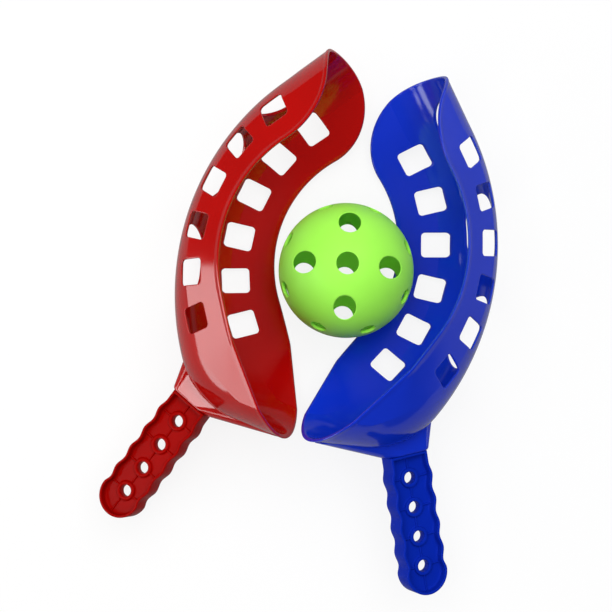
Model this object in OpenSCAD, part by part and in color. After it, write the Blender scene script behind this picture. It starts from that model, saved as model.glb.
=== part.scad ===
// Scoop and ball toss set: two curved hand scoops and one perforated ball.
// Millimetres, Z up. The set lies on a table as photographed, lowest points on z = 0.
// A scoop is drawn in its own side view: X along the trough, Y towards its mouth, Z across it.

/* [Trough] */
// Outer radius of the long back arc
back_r = 165; // [140:1:200]
// Heel side end of the back arc, degrees from its lowest point
back_start = -44; // [-50:1:-36]
// Tip side end of the back arc, degrees from its lowest point
back_end = 29; // [24:1:31]
// Outer radius of the tight turn at the heel
heel_r = 58; // [55:1:70]
// How far the heel turns, degrees
heel_turn = 55; // [48:1:60]
// Straight floor from the heel turn to the heel end
heel_len = 35; // [28:1:42]
// Outer radius of the round floor across the trough
floor_r = 52; // [50:0.5:56]
// Half angle of the round floor, up to the crease at the side walls, degrees
crease = 46; // [42:1:50]
// Outward lean of the side walls, degrees
flare = 26; // [20:1:30]
// Wall thickness
wall = 2; // [1.6:0.1:3]

/* [Rim] */
// Radius of the hollow in the rim
hollow_r = 83; // [76:1:90]
// Centre of the hollow along the trough
hollow_x = 2; // [-6:1:10]
// Centre of the hollow above the lowest point of the back
hollow_y = 125.5; // [121:0.5:131]
// Radius of the bulge of the rim near the tip
bulge_r = 45; // [40:1:48]
// Direction from the hollow to the bulge, degrees
bulge_dir = -56.5; // [-60:0.5:-53]
// Extra thickness of the rim lip
lip = 1; // [0.6:0.1:1.6]
// Height of the rim lip
lip_h = 3; // [2:0.5:5]

/* [Windows] */
// Windows in each side wall
window_n = 6; // [3:1:6]
// Side of a square window
window = 17; // [12:0.5:18]
// Corner radius of a window
window_round = 2.5; // [1.5:0.5:4]
// Radius of the window row
window_row = 116.5; // [113:0.5:119]
// Centre of the window row along the trough
window_x = 2; // [0:0.5:4]
// Centre of the window row above the lowest point of the back
window_y = 136.5; // [134:0.5:139]
// Angle of the window nearest the tip
window_first = 30; // [28:1:32]
// Angle between windows
window_step = 15; // [13:0.5:15.5]
// Length of a hole in the floor
oval_len = 52; // [36:1:54]
// Width of a hole in the floor
oval_w = 32; // [16:1:34]
// Angle between the holes in the floor
oval_step = 24.3; // [21:0.1:25]
// Angle of the middle hole in the floor from the lowest point of the back, towards the tip
oval_turn = 3.6; // [0:0.1:5]

/* [Handle] */
// First hole of the handle from the outside of the heel turn
grip_gap = 25.5; // [23:0.5:28]
// Direction of the first hole from the centre of the heel turn, degrees
grip_dir = 199.6; // [196:0.2:203]
// Slope of the handle from the trough line, degrees
grip_slope = 10; // [4:1:16]
// Handle from its first hole to its end
grip_len = 79; // [76:1:86]
// Width of the handle between wave crest and trough
grip_w = 28.5; // [24:0.5:30]
// Thickness of the handle
grip_t = 15; // [12:0.5:20]
// Wall around the handle pockets
grip_wall = 1.8; // [1.4:0.1:2.6]
// Web between the two pockets
web = 3; // [2:0.5:5]
// Pitch of the finger waves
wave = 16.5; // [15:0.5:18]
// Depth of a finger wave to each side of the mean line
wave_amp = 0.8; // [0.5:0.1:1.3]
// Holes in the handle
hole_n = 4; // [2:1:4]
// Diameter of a handle hole
hole_d = 8; // [5:0.5:9]
// Pitch of the handle holes
hole_step = 20; // [18:0.5:21]
// Boss diameter around a hole
boss_d = 13; // [11:0.5:15]
// Boss height through the web
boss_h = 7; // [5:0.5:10]
// Low rib height above the web
rib_h = 1.2; // [0.6:0.2:2]
// Low rib width
rib_w = 1.4; // [1:0.2:2.4]

/* [Collar] */
// Collar edge from the first handle hole
collar_x = 14.5; // [13:0.5:17]
// Width of the collar at its edge
collar_w = 27; // [25:0.5:30]
// Thickness of the collar
collar_t = 17.5; // [15:0.5:20]
// Collar wall around the handle plug
collar_wall = 3; // [2:0.1:3.6]
// Length of the neck from the collar edge into the heel
neck_len = 36; // [32:1:40]
// Length of the flare of the neck on the mouth side
neck_nose = 37; // [34:1:40]
// Flare of the collar on the back side, degrees
neck_back = 20; // [10:1:26]
// Flare of the collar on the mouth side, degrees
neck_mouth = 62; // [56:1:66]
// Press fit clearance of the handle plug, each side
fit = 0.1; // [0.05:0.05:0.3]
// Corner radius of the handle plug
plug_round = 3; // [2:0.5:5]
// Room between the end of the handle plug and the heel
plug_gap = 0.4; // [0.2:0.1:1]

/* [Ball] */
// Ball diameter
ball_d = 90; // [70:1:92]
// Ball wall
ball_wall = 2.2; // [1.6:0.1:3]
// Diameter of the hole at a pole and of the four around it, cut along the axis of the ball
ball_hole = 14.4; // [9:0.2:15]
// Diameter of the eight holes near the seam, cut towards the centre of the ball
side_hole = 10.4; // [6:0.2:14]
// Angle of the four hole ring from the pole
ring_four = 38; // [34:1:42]
// Angle of the eight hole ring from the pole
ring_eight = 73; // [70:1:76]
// Height of the locating ring in the seam
seam_h = 2; // [1.5:0.1:3]
// Thickness of the locating ring
seam_t = 1.1; // [0.8:0.1:1.5]

/* [Layout] */
// Lean of the red scoop on the table, degrees
red_lean = 18.2; // [12:0.1:26]
// Pitch of the red scoop, degrees
red_pitch = 5.9; // [0:0.1:8]
// Turn of the red scoop, degrees
red_turn = 62.7; // [58:0.1:66]
// Lean of the blue scoop on the table, degrees
blue_lean = 23.8; // [16:0.1:28]
// Pitch of the blue scoop, degrees
blue_pitch = 1; // [0:0.1:5]
// Turn of the blue scoop, degrees
blue_turn = 89.9; // [86:0.1:94]
// Red scoop position across the table
red_x = 71.8; // [60:0.1:80]
// Red scoop position along the table
red_y = 9.4; // [0:0.1:20]
// Blue scoop position across the table
blue_x = -28.3; // [-34:0.1:-20]
// Blue scoop position along the table
blue_y = 38.8; // [30:0.1:46]
// Ball position across the table
ball_x = 26.7; // [22:0.1:30]
// Ball position along the table
ball_y = 23.7; // [18:0.1:28]
// Tilt of the ball, degrees
ball_tilt = -5; // [-20:1:20]
// Turn of the ball, degrees
ball_turn = -3.5; // [-20:0.5:20]
// Shift of the whole set across the table
set_x = 6.3; // [-40:0.1:40]
// Shift of the whole set along the table
set_y = 11.5; // [-40:0.1:40]

/* [Hidden] */
$fn = 96;

// Direction from an arc centre to the floor, t degrees from straight down
function down(t) = [sin(t), -cos(t)];
// Direction along the floor towards the tip
function along(t) = [cos(t), sin(t)];

heel_end = back_start - heel_turn;
heel_c = (back_r - heel_r) * down(back_start);
heel_turn_pt = heel_c + heel_r * down(heel_end);
heel_pt = heel_turn_pt - heel_len * along(heel_end);
tip_turn_pt = back_r * down(back_end);
// Height of the trough before the rim is cut, and reach of the cuts
deep = 1.25 * floor_r;
wide = 4 * floor_r;
// Witness line between the lengths of the trough, and overlap of the rim curves
witness = 0.2;
blend = 0.15;
// Overlap of the handle waves with their mean line, and share of a wave kept free at the handle end
wave_lap = 0.05;
last_wave = 0.4;

// Rim in side view: a straight slope from the heel, the hollow, then the bulge
hollow_c = [hollow_x, hollow_y - back_r];
bulge_c = hollow_c + (hollow_r + bulge_r - blend) * along(bulge_dir);
slope_to = heel_pt - hollow_c;
slope_a = atan2(slope_to.y, slope_to.x) + acos((hollow_r - blend) / norm(slope_to));
slope_dir = along(slope_a + 90);
// Straight floor from the back arc to past the rim at the tip
tip_run = (bulge_c - tip_turn_pt) * along(back_end) + 1.2 * bulge_r;

// Outer half width of the trough at height h above its outer floor
crease_h = floor_r * (1 - cos(crease));
crease_w = floor_r * sin(crease);
function half_w(h) = h < crease_h ? sqrt(max(0, floor_r * floor_r - pow(floor_r - h, 2)))
    : crease_w + (h - crease_h) * tan(flare);
// Height of a side view point above the outer floor
function floor_h(p) = let (a = atan2(p.x, -p.y), q = p - heel_c, b = atan2(q.x, -q.y))
    a > back_end ? -(p - tip_turn_pt) * down(back_end)
    : a > back_start ? back_r - norm(p)
    : b > heel_end && b < 0 ? heel_r - norm(q)
    : -(p - heel_turn_pt) * down(heel_end);
rim_line = concat(
    [for (i = [0 : 8]) heel_pt + (hollow_c + hollow_r * along(slope_a) - heel_pt) * i / 8],
    [for (i = [0 : 12]) hollow_c + hollow_r * along(slope_a - 360 + (bulge_dir + 360 - slope_a) * i / 12)],
    [for (i = [0 : 12]) bulge_c + bulge_r * along(bulge_dir + 180 - (bulge_dir + 180 - back_end) * i / 12)]);
grip_pt = heel_c + (heel_r + grip_gap) * along(grip_dir);
grip_end = grip_pt - grip_len * along(grip_slope);
// Hole in the collar and the plug of the handle that it takes
bore_w = collar_w - 2 * collar_wall;
bore_t = collar_t - 2 * collar_wall;
plug_w = bore_w - 2 * fit;
plug_t = bore_t - 2 * fit;
// Lift that sets the lowest point of a leaning scoop on the table
function lift(lean, pitch) = let (r = [sin(pitch), cos(pitch) * sin(lean), -cos(pitch) * cos(lean)])
    -min(concat(
        [for (p = rim_line) r.x * p.x + r.y * p.y + r.z * (half_w(max(0, floor_h(p))) + lip / cos(flare))],
        [r.x * grip_end.x + r.y * grip_end.y + r.z * grip_t / 2]));

// Section across the trough, floor at x = 0, drawn d inside the outer face
module section(d, depth) {
    w = crease_w - d / cos(flare);
    low = w - 2 * crease_h * tan(flare);
    high = w + (depth - crease_h) * tan(flare);
    intersection() {
        union() {
            translate([-floor_r, 0]) circle(floor_r - d);
            translate([-depth, -wide / 2]) square([depth - 1.3 * crease_h, wide]);
        }
        polygon([[crease_h, -low], [crease_h, low], [-depth, high], [-depth, -high]]);
    }
}

// Solid trough, d inside the outer face. The heel turn and the tip stand proud by a witness line
// and the neighbouring lengths run on under them.
module trough(d) {
    rotate([0, 0, back_start - 91])
        rotate_extrude(angle = back_end - back_start + 2) translate([back_r, 0]) section(d, deep);
    translate([heel_c.x, heel_c.y, 0]) rotate([0, 0, heel_end - 90])
        rotate_extrude(angle = heel_turn) translate([heel_r, 0]) section(d - witness, 0.98 * heel_r);
    translate([heel_turn_pt.x, heel_turn_pt.y, 0]) rotate([0, 0, heel_end - 90]) rotate([90, 0, 0])
        translate([0, 0, -heel_len / 12]) linear_extrude(height = 1.4 * heel_len) section(d, 0.98 * heel_r);
    translate([tip_turn_pt.x, tip_turn_pt.y, 0]) rotate([0, 0, back_end - 90]) rotate([-90, 0, 0])
        linear_extrude(height = tip_run) section(d - witness, deep);
}

// Side view of the scoop below the rim, d below it
module below_rim(d) {
    s0 = hollow_c + (hollow_r + d - blend) * along(slope_a);
    difference() {
        polygon([s0 - back_r * slope_dir, s0, hollow_c + (hollow_r + d - blend) * along(bulge_dir), bulge_c,
            bulge_c + 2 * bulge_r * down(back_end), back_r * [-1 / 3, -2], back_r * [-2, -2],
            back_r * [-2, 0.5]]);
        translate(hollow_c) circle(hollow_r + d, $fn = 180);
    }
    translate(bulge_c) circle(bulge_r - d, $fn = 180);
}

module round_rect(w, h, r) {
    square([w - 2 * r, h], center = true);
    square([w, h - 2 * r], center = true);
    for (x = [-1, 1], y = [-1, 1]) translate([x * (w / 2 - r), y * (h / 2 - r)]) circle(r, $fn = 48);
}

// Frame of the handle: origin in the first hole, X towards the trough
module at_grip() {
    translate([grip_pt.x, grip_pt.y, 0]) rotate([0, 0, grip_slope]) children();
}

// Bar of a rounded section along X from x0 to x1
module bar(x0, x1, w, t, r) {
    translate([x0, 0, 0]) rotate([90, 0, 90]) linear_extrude(height = x1 - x0) round_rect(w, t, r);
}

module windows() {
    linear_extrude(height = wide, center = true)
        for (i = [0 : window_n - 1])
            translate([window_x, window_y - back_r] + window_row * down(window_first - i * window_step))
                rotate(window_first - i * window_step) round_rect(window, window, window_round);
    for (i = [-1 : 1])
        rotate([0, 0, oval_turn + i * oval_step - 90]) translate([back_r - crease_h, 0, 0]) rotate([0, 90, 0])
            linear_extrude(height = 2 * crease_h) {
                square([oval_w, oval_len - oval_w], center = true);
                for (s = [-1, 1]) translate([0, s * (oval_len - oval_w) / 2]) circle(oval_w / 2);
            }
}

// Neck block around the handle plug, flared into the heel
module neck() {
    n = collar_w / 2;
    linear_extrude(height = collar_t, center = true)
        polygon([[collar_x, -n], [collar_x, n], [collar_x, n] + neck_nose * along(neck_mouth),
            [collar_x + neck_len, n + neck_nose * sin(neck_mouth)],
            [collar_x + neck_len, -n - neck_len * tan(neck_back)]]);
}

// Trough shell with windows, rim lip and the collar that takes the handle
module basket() {
    difference() {
        union() {
            intersection() {
                union() {
                    trough(0);
                    difference() {
                        trough(-lip);
                        linear_extrude(height = wide + 2, center = true) below_rim(lip_h);
                    }
                }
                linear_extrude(height = wide, center = true) below_rim(0);
            }
            at_grip() difference() {
                neck();
                bar(collar_x - fit, collar_x + neck_len + fit, bore_w, bore_t, plug_round + fit);
            }
        }
        trough(wall);
        windows();
    }
}

// Handle outline in side view, drawn d inside the outer face
module grip_outline(d) {
    wave_r = (wave * wave / 4 + 4 * wave_amp * wave_amp) / (8 * wave_amp);
    slant = sqrt(1 - pow(wave / (4 * wave_r), 2));
    mean = grip_w / 2 - slant * d + wave_lap;
    end_r = grip_w / 2 + wave_amp;
    end_x = grip_len - end_r;
    crests = floor(end_x / wave - last_wave);
    difference() {
        union() {
            translate([-end_x, -mean]) square([end_x + collar_x - fit, 2 * mean]);
            for (i = [0 : crests], s = [-1, 1])
                translate([-i * wave, s * (end_r - wave_r)]) circle(wave_r - d);
            translate([-end_x, 0]) circle(end_r - d);
        }
        for (i = [0 : crests + 1], s = [-1, 1])
            translate([(0.5 - i) * wave, s * (grip_w / 2 - wave_amp + wave_r)]) circle(wave_r + d);
    }
}

// Handle: waved bar with a pocket in each face, holes with bosses, low ribs and a plug for the collar
module grip() {
    rib_len = grip_len - grip_w / 3;
    difference() {
        union() {
            difference() {
                linear_extrude(height = grip_t, center = true) grip_outline(0);
                for (s = [-1, 1]) translate([0, 0, s * (web / 2 + grip_t / 2)])
                    linear_extrude(height = grip_t, center = true) intersection() {
                        grip_outline(grip_wall);
                        translate([-grip_len, -grip_w]) square([grip_len + collar_x - grip_wall, 2 * grip_w]);
                    }
            }
            for (i = [0 : hole_n - 1]) translate([-i * hole_step, 0, 0]) {
                cylinder(d = boss_d, h = boss_h, center = true);
                cube([rib_w, grip_w - grip_wall, web + 2 * rib_h], center = true);
            }
            translate([-rib_len, -rib_w / 2, -web / 2 - rib_h])
                cube([rib_len + collar_x - grip_wall / 2, rib_w, web + 2 * rib_h]);
            bar(collar_x - grip_wall / 2, collar_x + neck_len, plug_w, plug_t, plug_round);
        }
        for (i = [0 : hole_n - 1])
            translate([-i * hole_step, 0, 0]) cylinder(d = hole_d, h = 2 * grip_t, center = true);
    }
}

// Handle in the scoop frame, its plug shaped to stop just off the heel turn
module handle() {
    difference() {
        at_grip() grip();
        translate([heel_c.x, heel_c.y, 0])
            cylinder(r = heel_r + plug_gap, h = 4 * grip_t, center = true, $fn = 180);
    }
}

module at_red() {
    translate([red_x + set_x, red_y + set_y, lift(red_lean, red_pitch)])
        rotate([180 - red_lean, -red_pitch, red_turn]) children();
}

module at_blue() {
    translate([blue_x + set_x, blue_y + set_y, lift(blue_lean, blue_pitch)])
        rotate([blue_lean, -blue_pitch, blue_turn]) children();
}

module at_ball() {
    translate([ball_x + set_x, ball_y + set_y, ball_d / 2])
        rotate([ball_tilt, 0, 0]) rotate([0, 0, ball_turn]) children();
}

module ball_holes(r) {
    cylinder(d = ball_hole, h = 2 * r);
    for (i = [0 : 3])
        rotate([0, 0, i * 90]) translate([r * sin(ring_four), 0, 0]) cylinder(d = ball_hole, h = 2 * r);
    for (i = [0 : 7])
        rotate([0, 0, 22.5 + i * 45]) rotate([0, ring_eight, 0]) cylinder(d = side_hole, h = 2 * r);
}

// Upper half of the ball shell; the mating half is this one turned over
module half_ball() {
    r = ball_d / 2;
    difference() {
        intersection() {
            sphere(r);
            translate([-2 * r, -2 * r, 0]) cube([4 * r, 4 * r, 2 * r]);
        }
        sphere(r - ball_wall);
        ball_holes(r);
    }
}

module red_basket() { color("red") at_red() basket(); }
module red_handle() { color("red") at_red() handle(); }
module blue_basket() { color("blue") at_blue() basket(); }
module blue_handle() { color("blue") at_blue() handle(); }
module ball_upper_half() {
    r = ball_d / 2 - ball_wall;
    color("lime") at_ball() {
        half_ball();
        difference() {
            union() {
                translate([0, 0, -seam_h]) cylinder(r = r - fit, h = seam_h);
                cylinder(r = r + 4 * fit, h = 0.75 * seam_h);
            }
            translate([0, 0, -2 * seam_h]) cylinder(r = r - fit - seam_t, h = 4 * seam_h);
        }
    }
}
module ball_lower_half() { color("lime") at_ball() mirror([0, 0, 1]) half_ball(); }

red_basket();
red_handle();
blue_basket();
blue_handle();
ball_upper_half();
ball_lower_half();
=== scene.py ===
"""Scoop toss set: two curved hand scoops with waved handles and one perforated ball, in metres."""
import math

import bmesh
import bpy
import numpy as np
from bpy.props import FloatProperty, FloatVectorProperty, IntProperty, PointerProperty
from mathutils import Matrix, Vector


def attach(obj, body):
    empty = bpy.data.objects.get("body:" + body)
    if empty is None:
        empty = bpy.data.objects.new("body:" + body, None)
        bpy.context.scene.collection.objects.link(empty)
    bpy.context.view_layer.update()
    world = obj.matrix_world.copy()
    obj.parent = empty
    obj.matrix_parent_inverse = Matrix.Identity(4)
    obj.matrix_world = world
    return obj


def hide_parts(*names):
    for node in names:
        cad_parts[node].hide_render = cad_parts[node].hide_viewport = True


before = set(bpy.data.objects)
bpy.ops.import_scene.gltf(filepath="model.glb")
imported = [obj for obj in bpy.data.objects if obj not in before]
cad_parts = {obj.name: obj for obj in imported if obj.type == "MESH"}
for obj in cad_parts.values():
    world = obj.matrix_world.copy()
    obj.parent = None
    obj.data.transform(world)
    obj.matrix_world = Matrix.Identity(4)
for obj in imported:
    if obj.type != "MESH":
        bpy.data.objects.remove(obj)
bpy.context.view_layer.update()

HALVINGS = 48              # steps of a search by halving
TINY = 1e-9                # stands for zero under a fraction
WELD = 4e-6                # points that lie nearer than this are one point
FINER = 1.4                # how much finer the rings get towards a hole
ROUND_FACES = 3            # mesh faces of a small quarter round
BORE_ACROSS = 40           # mesh faces along the wide sides of the collar's bore
BORE_UPRIGHT = 24          # along its narrow sides
PLUG_FACES = 6             # along the plug and down the bore
SHADES = (0.93, 1.06)      # darkest and lightest shade of a plastic, as shares of its colour
MATT_DRIFT = 0.15          # drift of a plastic's roughness to each side, as a share of it
PLASTIC_IOR = 1.49
WHITE = (1, 1, 1, 1)
MIDDLE = (0, 0, 0.05)      # point that the lamps are aimed at

bl_info = {
    "name": "Scoop Toss Set",
    "version": (1, 0, 0),
    "blender": (4, 5, 0),
    "location": "View3D > Sidebar > Scoops",
    "description": "Builds two moulded scoops, their handles and a perforated ball on their frame",
    "category": "Object",
}


def kind_of(form, **fixed):
    """Maker of one kind of property, which takes a name, a description and a default."""
    def make(name, description, default):
        return form(name=name, description=description, default=default, **fixed)
    return make


length = kind_of(FloatProperty, unit="LENGTH", precision=4)
fraction = kind_of(FloatProperty, subtype="FACTOR", min=0, max=1)
camera_size = kind_of(FloatProperty, unit="CAMERA")
count = kind_of(IntProperty, min=1)
colour = kind_of(FloatVectorProperty, size=3, subtype="COLOR", min=0, max=1)
place = kind_of(FloatVectorProperty, size=3, subtype="TRANSLATION", precision=4)


def angle(name, description, degrees):
    """An angle, given in degrees and held in radians."""
    return kind_of(FloatProperty, subtype="ANGLE")(name, description, math.radians(degrees))


def turns(name, description, degrees):
    """Turns about X, then Y, then Z, given in degrees and held in radians."""
    make = kind_of(FloatVectorProperty, size=3, subtype="EULER")
    return make(name, description, np.radians(degrees).tolist())


class TroughSizes(bpy.types.PropertyGroup):
    """Curved trough of a scoop, seen from its side: X along it, Y towards its mouth."""
    back_r: length("Back radius", "Outer radius of the long back arc", 0.165)
    back_start: angle("Back start", "Heel side end of the back arc, from its lowest point", -44)
    back_end: angle("Back end", "Tip side end of the back arc, from its lowest point", 29)
    heel_r: length("Heel radius", "Outer radius of the tight turn at the heel", 0.058)
    heel_turn: angle("Heel turn", "How far the heel turns", 55)
    heel_len: length("Heel length", "Straight floor from the heel turn to the heel end", 0.035)
    floor_r: length("Floor radius", "Outer radius of the round floor across the trough", 0.052)
    crease: angle("Crease", "Half angle of the round floor, up to the crease", 46)
    crease_r: length("Crease width", "Reach of the soft crease to each side of its line", 0.001)
    crease_row: length("Crease row", "Distance of the crease from the centre of the window row", 0.1206)
    crease_tip: length("Crease tip", "Place along the floor past which the crease keeps its height", 0.09)
    foot: length("Band", "Width of the band below the crease that the windows reach into", 0.013)
    flare: angle("Flare", "Outward lean of the side walls", 26)
    wall: length("Wall", "Thickness of the moulding", 0.002)
    step: length("Step", "Length of a mesh face along the trough", 0.0015)


class RimSizes(bpy.types.PropertyGroup):
    """Rim line of a scoop, seen from its side: a slope, a hollow and a bulge."""
    hollow_r: length("Hollow radius", "Radius of the hollow in the rim", 0.083)
    hollow_x: length("Hollow along", "Centre of the hollow along the trough", 0.002)
    hollow_y: length("Hollow height", "Centre of the hollow above the lowest point of the back", 0.1255)
    bulge_r: length("Bulge radius", "Radius of the bulge near the tip", 0.045)
    bulge_dir: angle("Bulge direction", "Direction from the hollow to the bulge", -56.5)
    lip: length("Lip", "Extra thickness of the rim", 0.0003)
    lip_h: length("Lip height", "Height of the thicker rim", 0.0022)
    soft: length("Soft edge", "Rounding of the rim's edges", 0.0006)


class WindowSizes(bpy.types.PropertyGroup):
    """Square windows in the side walls and long holes in the floor."""
    number: count("Windows", "Windows in each side wall", 6)
    side: length("Side", "Side of a window", 0.017)
    corner: length("Corner", "Corner radius of a window", 0.0025)
    row_r: length("Row radius", "Radius of the window row", 0.1165)
    row_x: length("Row along", "Centre of the row along the trough", 0.002)
    row_y: length("Row height", "Centre of the row above the lowest point of the back", 0.1365)
    first: angle("First", "Angle of the window nearest the tip", 30)
    pitch: angle("Pitch", "Angle between windows", 15)
    oval_len: length("Oval length", "Length of a hole in the floor", 0.052)
    oval_w: length("Oval width", "Width of a hole in the floor", 0.04)
    oval_pitch: angle("Oval pitch", "Angle between the holes in the floor", 24.3)
    oval_turn: angle("Oval turn", "Angle of the middle hole in the floor from the lowest point", 3.6)
    soft: length("Soft edge", "Rounding of the edges of windows and holes", 0.0005)


class HandleSizes(bpy.types.PropertyGroup):
    """Waved handle with a pocket in each face, and the neck of the scoop that takes its plug."""
    gap: length("Gap", "First hole of the handle from the outside of the heel turn", 0.0255)
    direction: angle("Direction", "Direction of the first hole from the centre of the heel turn", 199.6)
    slope: angle("Slope", "Slope of the handle from the trough line", 10)
    length: length("Length", "Handle from its first hole to its end", 0.079)
    width: length("Width", "Mean width of the handle", 0.0285)
    thick: length("Thickness", "Thickness of the handle", 0.015)
    wall: length("Wall", "Wall around the pockets", 0.0018)
    web: length("Web", "Web between the two pockets", 0.003)
    wave: length("Wave", "Pitch of the finger waves", 0.0165)
    wave_amp: length("Wave depth", "Depth of a finger wave to each side of the mean line", 0.0008)
    holes: count("Holes", "Holes in the handle", 4)
    hole_d: length("Hole", "Diameter of a handle hole", 0.008)
    hole_pitch: length("Hole pitch", "Pitch of the handle holes", 0.02)
    boss_d: length("Boss", "Diameter of the boss round a hole", 0.013)
    boss_h: length("Boss height", "Height of a boss through the web", 0.007)
    rib_h: length("Rib height", "Height of a low rib above the web", 0.0012)
    rib_w: length("Rib width", "Width of a low rib", 0.0014)
    soft: length("Soft edge", "Rounding of the handle's edges", 0.0006)
    collar_x: length("Collar", "Collar edge from the first hole", 0.0162)
    collar_w: length("Collar width", "Width across the bore and its walls", 0.027)
    collar_t: length("Collar thickness", "Thickness of the collar", 0.0175)
    collar_wall: length("Collar wall", "Collar wall around the plug", 0.003)
    collar_round: length("Collar corner", "Corner radius of the collar", 0.0026)
    neck_w: length("Neck width", "Width of the neck at the collar edge", 0.031)
    neck_round: length("Neck corner", "Corner radius of the neck on the back side", 0.0045)
    neck_nose: length("Neck nose", "Length of the neck's round nose on the mouth side", 0.012)
    neck_soft: length("Neck edge", "Rounding of the collar edge", 0.002)
    neck_back: angle("Back flare", "Flare of the neck on the back side", 17)
    neck_mouth: angle("Mouth flare", "Flare of the neck on the mouth side", 66)
    neck_rise: length("Neck rise", "Growth of the neck's half thickness from the collar to the heel", 0.0018)
    plug_len: length("Plug", "Length of the plug in the collar", 0.008)
    fit: length("Fit", "Clearance of the plug on each side", 0.0001)


class BallSizes(bpy.types.PropertyGroup):
    """Hollow ball of two halves with round holes."""
    diameter: length("Diameter", "Outside diameter", 0.09)
    wall: length("Wall", "Thickness of the shell", 0.0022)
    hole_d: length("Hole", "Diameter of the hole at a pole and of the upper ring", 0.0144)
    side_d: length("Side hole", "Diameter of the lower ring's holes", 0.0104)
    upper_n: count("Upper holes", "Holes in the upper ring, cut along the ball's axis", 4)
    upper: angle("Upper ring", "Angle of the upper ring from the pole", 38)
    lower_n: count("Lower holes", "Holes in the lower ring, cut to the ball's centre", 8)
    lower: angle("Lower ring", "Angle of the lower ring from the pole", 73)
    soft: length("Soft edge", "Rounding of the edges of holes", 0.0006)
    seam: length("Seam", "Rounding of the edges at the seam", 0.0003)
    seam_h: length("Seam ring", "Height of the locating ring in the seam", 0.002)
    seam_t: length("Seam ring wall", "Thickness of the locating ring", 0.0011)
    seam_fit: length("Seam fit", "Clearance of the locating ring in the other half", 0.0001)
    around: count("Faces around", "Mesh faces round the equator", 192)


class LayoutPlaces(bpy.types.PropertyGroup):
    """Where the pieces lie on the table."""
    red_turn: turns("Red turn", "Turn of the red scoop", (161.8, -5.9, 62.7))
    red_spot: place("Red place", "Place of the red scoop", (0.0781, 0.0209, 0.0894))
    blue_turn: turns("Blue turn", "Turn of the blue scoop", (23.8, -1, 89.9))
    blue_spot: place("Blue place", "Place of the blue scoop", (-0.022, 0.0503, 0.0966))
    ball_tilt: angle("Ball tilt", "Tilt of the ball", -5)
    ball_turn: angle("Ball turn", "Turn of the ball", -3.5)
    ball_spot: place("Ball place", "Centre of the ball", (0.033, 0.0352, 0.045))


class Finishes(bpy.types.PropertyGroup):
    """Colours of the mouldings and the floor, and the painted shade of the handles."""
    red: colour("Red", "Red plastic", (0.44, 0.002, 0.001))
    blue: colour("Blue", "Blue plastic", (0.004, 0.03, 0.56))
    lime: colour("Lime", "Lime plastic", (0.37, 0.98, 0.09))
    # Painted shade: the handles' colour is their scoop's colour darkened to this share, standing in for the
    # shade that falls on them.
    handle_painted_shade: fraction("Handle shade", "Colour of the handles, as a share of their scoop's colour", 0.7)
    floor: colour("Floor", "Pale floor", (0.9, 0.9, 0.9))


class StageSizes(bpy.types.PropertyGroup):
    """Floor under the set and camera straight above it."""
    floor_side: length("Floor side", "Side of the square floor", 1.2)
    eye: place("Camera place", "Place of the camera", (0.0063, 0.0115, 1.131))
    lens: camera_size("Lens", "Focal length of the camera", 95.76)
    sensor: camera_size("Sensor", "Width of the camera's picture plane", 36)


class ScoopSet(bpy.types.PropertyGroup):
    """All sizes, places and colours of the set."""
    trough: PointerProperty(type=TroughSizes)
    rim: PointerProperty(type=RimSizes)
    windows: PointerProperty(type=WindowSizes)
    handle: PointerProperty(type=HandleSizes)
    ball: PointerProperty(type=BallSizes)
    layout: PointerProperty(type=LayoutPlaces)
    finish: PointerProperty(type=Finishes)
    stage: PointerProperty(type=StageSizes)


def pairs(a, b):
    """Points (a, b) of two arrays, each spread along the other where their shapes differ."""
    return np.stack(np.broadcast_arrays(a, b), -1)


def down(t):
    """Direction from an arc's centre to the floor, t from straight down: (sin t, -cos t)."""
    return pairs(np.sin(t), -np.cos(t))


def along(t):
    """Direction at angle t: (cos t, sin t)."""
    return pairs(np.cos(t), np.sin(t))


def spread(a, b, steps):
    """Points from a to b in equal steps, as rows."""
    t = np.linspace(0, 1, steps + 1).reshape((-1,) + (1,) * np.ndim(a))
    return np.asarray(a) + (np.asarray(b) - np.asarray(a)) * t


def halve(f, like, low, high):
    """Places between low and high, one for each value of an array of like shape, at which f turns from below
    zero to above it, found by halving the range."""
    low, high = np.full(np.shape(like), float(low)), np.full(np.shape(like), float(high))
    for _ in range(HALVINGS):
        middle = (low + high) / 2
        above = f(middle) > 0
        low, high = np.where(above, low, middle), np.where(above, middle, high)
    return (low + high) / 2


def rings(inner, outer, steps, ease=FINER):
    """Loops between two loops of as many points: inner + (outer - inner) * t ** ease."""
    t = np.linspace(0, 1, steps + 1) ** ease
    return inner + (outer - inner) * t[:, None, None]


def quarter_round(radius, faces=ROUND_FACES):
    """Quarter round between two faces, from (radius, 0) to (0, radius): radius * (1 - sin t, 1 - cos t)."""
    t = np.linspace(0, math.pi / 2, faces + 1)
    return radius * (1 - pairs(np.sin(t), np.cos(t)))


def through_edge(soft, wall):
    """Section of an edge through a wall with a quarter round on each face, as (inset, depth) pairs."""
    near = quarter_round(soft)
    return np.concatenate([near, [0, wall] + near[::-1] * [1, -1]])


def round_box(width, height, corner, across, upright):
    """Loop round a box with round corners. Each side runs from the middle of one corner to the next."""
    loops = []
    arc = corner * math.pi / 4
    for k, (side, other, steps) in enumerate([(width, height, across), (height, width, upright)] * 2):
        straight = side - 2 * corner
        run = np.arange(steps) / steps * (straight + 2 * arc) - arc
        t = (np.clip(run, -arc, 0) + np.clip(run - straight, 0, arc)) / corner - math.pi / 2
        x = np.clip(run, 0, straight) - straight / 2 + corner * np.cos(t)
        y = -other / 2 + corner + corner * np.sin(t)
        c, s = round(math.cos(k * math.pi / 2)), round(math.sin(k * math.pi / 2))
        loops.append(pairs(c * x - s * y, s * x + c * y))
    return np.concatenate(loops)


def rotation(euler):
    """Rotation matrix of turns about X, then Y, then Z, as an array."""
    x, y, z = euler
    turn = Matrix.Rotation(z, 3, "Z") @ Matrix.Rotation(y, 3, "Y") @ Matrix.Rotation(x, 3, "X")
    return np.array(turn)


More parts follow.
